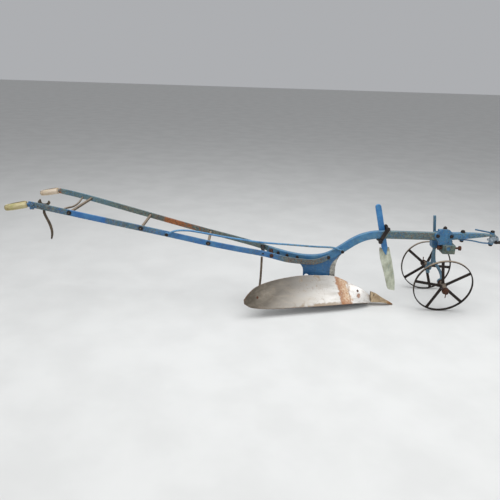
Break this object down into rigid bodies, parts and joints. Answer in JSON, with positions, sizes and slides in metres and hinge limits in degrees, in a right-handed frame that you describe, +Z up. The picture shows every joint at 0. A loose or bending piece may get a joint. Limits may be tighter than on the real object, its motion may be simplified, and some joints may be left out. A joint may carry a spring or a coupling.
{
  "type": "walking plow",
  "caption": "Two-wheeled walking plough: long handles, cranked beam, twisted mouldboard with share, knife coulter, leaning wheels on sliding standards, swivelling hake.",
  "frame": {"origin": "on the underside of the slade, below the beam, 1.072 m behind the vertical hake pin; the ground the plough stands on is z = 0", "axes": "+X forwards along the beam, +Y to the land side (left), +Z up"},
  "size_m": [3.3008, 0.7617, 0.7752],
  "materials": {
    "blue_paint": "old blue oil paint, chalky, chipped to pale grey-green and rust",
    "dark_iron": "dark brown-black oily iron",
    "bare_rusty": "bare bar, brown rust",
    "worn_steel": "ground-polished steel with rust stains",
    "soiled_steel": "steel under dry soil",
    "pale_paint": "weathered pale grey-green paint",
    "wheel_black": "black-brown iron, tread worn pinkish brown",
    "hub_rust": "rusty brown cast hub",
    "grey_iron": "grey-white worn casting",
    "pale_wood": "weathered unvarnished wood"
  },
  "bodies": {
    "plough_frame": {"beam": "blue_paint", "beam_brace": "blue_paint", "beam_brace_bolt": "dark_iron", "right_handle": "blue_paint", "left_handle": "blue_paint", "right_grip": "pale_wood", "left_grip": "pale_wood", "handle_stays": "bare_rusty", "handle_bow_stay": "bare_rusty", "stay_nuts": "dark_iron", "handle_end_bolts": "dark_iron", "handle_spacer": "dark_iron", "spacer_bolt": "bare_rusty", "brace_rod": "blue_paint", "handle_bolts": "dark_iron", "spanner_clip": "blue_paint", "frog": "blue_paint", "frog_bolts": "dark_iron", "shin": "worn_steel", "landside": "worn_steel", "slade": "soiled_steel", "mouldboard": "worn_steel", "mouldboard_stay": "bare_rusty", "mouldboard_bolts": "bare_rusty", "share": "worn_steel", "share_point": "soiled_steel", "coulter_clamp_plate": "dark_iron", "coulter_clamp_strap": "dark_iron", "coulter_clamp_bolts": "dark_iron", "bracket_near_cheek": "blue_paint", "bracket_far_cheek": "blue_paint", "bracket_bolts": "dark_iron", "bracket_set_bolt": "dark_iron", "cross_bar_block": "blue_paint", "block_pin": "blue_paint", "cross_bar_set_bolts": "bare_rusty"},
    "furrow_leg": {"furrow_standard": "blue_paint", "furrow_axle": "hub_rust", "furrow_linch_pin": "bare_rusty"},
    "furrow_wheel": {"furrow_rim": "wheel_black", "furrow_spokes": "wheel_black", "furrow_nave": "hub_rust"},
    "cross_bar_slide": {"cross_bar": "blue_paint", "land_clamp": "blue_paint", "land_clamp_bolt": "dark_iron"},
    "land_leg": {"land_standard": "blue_paint", "land_axle": "hub_rust", "land_linch_pin": "bare_rusty"},
    "land_wheel": {"land_rim": "wheel_black", "land_spokes": "wheel_black", "land_nave": "hub_rust"},
    "coulter": {"coulter_stalk": "blue_paint", "coulter_blade": "pale_paint"},
    "hake_head": {"hake": "grey_iron", "hake_pin": "dark_iron", "hake_arm": "blue_paint", "hake_nuts": "dark_iron"},
    "draught_eye": {"draught_link": "dark_iron", "draught_pin": "dark_iron"},
    "loose_spanner": {"spanner": "dark_iron"}
  },
  "joints": [
    {"name": "furrow_leg_height", "type": "slide", "parent": "plough_frame", "child": "furrow_leg", "axis": [-0.1219, 0, 0.9925], "range_m": [-0.08, 0.04]},
    {"name": "furrow_wheel_roll", "type": "hinge", "parent": "furrow_leg", "child": "furrow_wheel", "pos_m": [0.745, -0.114, 0.20295], "axis": [0, 0.9816, 0.1908], "continuous": true},
    {"name": "cross_bar_reach", "type": "slide", "parent": "plough_frame", "child": "cross_bar_slide", "axis": [0, 1, 0], "range_m": [-0.04, 0.025]},
    {"name": "land_leg_height", "type": "slide", "parent": "cross_bar_slide", "child": "land_leg", "axis": [0, 0, 1], "range_m": [-0.08, 0.06]},
    {"name": "land_wheel_roll", "type": "hinge", "parent": "land_leg", "child": "land_wheel", "pos_m": [0.758, 0.33, 0.19017], "axis": [0, 0.9976, -0.0698], "continuous": true},
    {"name": "coulter_depth", "type": "slide", "parent": "plough_frame", "child": "coulter", "axis": [-0.2453, 0, 0.9694], "range_m": [-0.07, 0.05]},
    {"name": "hake_swing", "type": "hinge", "parent": "plough_frame", "child": "hake_head", "pos_m": [1.072, 0, 0.5], "axis": [0, 0, 1], "range_deg": [-25, 25]},
    {"name": "draught_link_swing", "type": "hinge", "parent": "hake_head", "child": "draught_eye", "pos_m": [1.103, 0, 0.499], "axis": [0, 1, 0], "range_deg": [-40, 90]},
    {"name": "spanner_lift", "type": "slide", "parent": "plough_frame", "child": "loose_spanner", "axis": [0, 0, 1], "range_m": [0, 0.018]}
  ]
}
